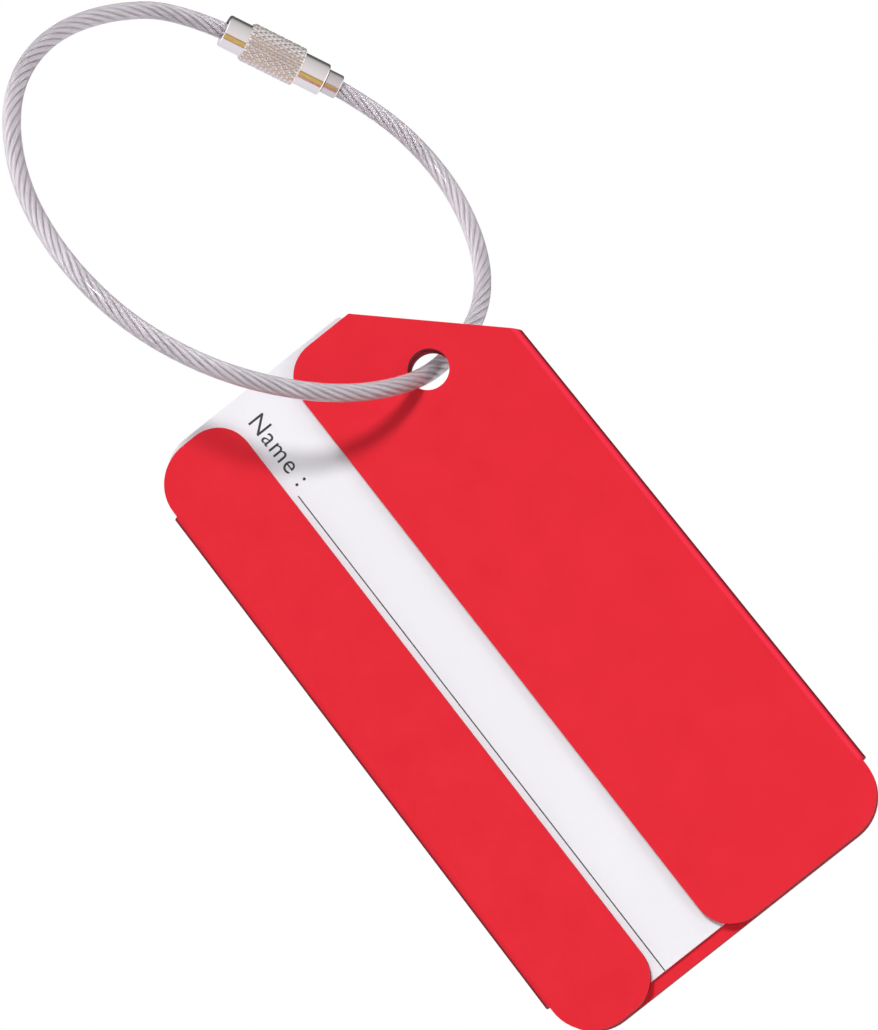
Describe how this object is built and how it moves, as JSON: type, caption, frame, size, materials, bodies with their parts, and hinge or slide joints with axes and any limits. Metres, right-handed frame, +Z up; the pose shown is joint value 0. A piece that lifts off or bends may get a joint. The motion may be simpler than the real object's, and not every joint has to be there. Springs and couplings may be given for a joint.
{
  "type": "luggage tag",
  "caption": "Folded aluminium luggage tag with a window, a slide-out paper name card and a coated steel cable loop closed by a knurled screw clasp.",
  "frame": {"origin": "the crest of the cable loop, on the inside of the loop where it hangs on a handle", "axes": "+Z up against gravity as it hangs, -Y out of the holder's front, +X to the right seen from the front"},
  "size_m": [0.0658, 0.0455, 0.1284],
  "materials": {
    "red_anodised": "satin red anodised aluminium sheet",
    "card": "matt white card",
    "rope_steel": "bright stranded stainless wire",
    "sheath": "thin clear plastic coat",
    "plated": "bright nickel plate",
    "ferrule_metal": "plain crimped aluminium"
  },
  "bodies": {
    "cable_loop": {"wire_rope": "rope_steel", "clear_sheath": "sheath", "screw_stud": "plated"},
    "holder": {"tag_holder": "red_anodised"},
    "card": {"name_card": "card"},
    "cable_end": {"stop_ferrule": "ferrule_metal"},
    "barrel": {"screw_barrel": "plated"}
  },
  "joints": [
    {"name": "holder_swing", "type": "hinge", "parent": "cable_loop", "child": "holder", "pos_m": [0.0188, -0.0026, -0.052], "axis": [0, 1, 0], "range_deg": [-60, 60]},
    {"name": "card_slide", "type": "slide", "parent": "holder", "child": "card", "axis": [0.3338, 0, -0.9426], "range_m": [0, 0.082]},
    {"name": "end_draw", "type": "slide", "parent": "cable_loop", "child": "cable_end", "axis": [-0.6636, -0.4424, 0.6033], "range_m": [0, 0.002]},
    {"name": "barrel_spin", "type": "hinge", "parent": "cable_end", "child": "barrel", "pos_m": [0.00741, 0.00611, -0.00229], "axis": [-0.6636, -0.4424, 0.6033], "range_deg": [0, 1440]}
  ],
  "couplings": [
    {"joint": "barrel_spin", "follows": "end_draw", "rad_per_m": 12566}
  ]
}
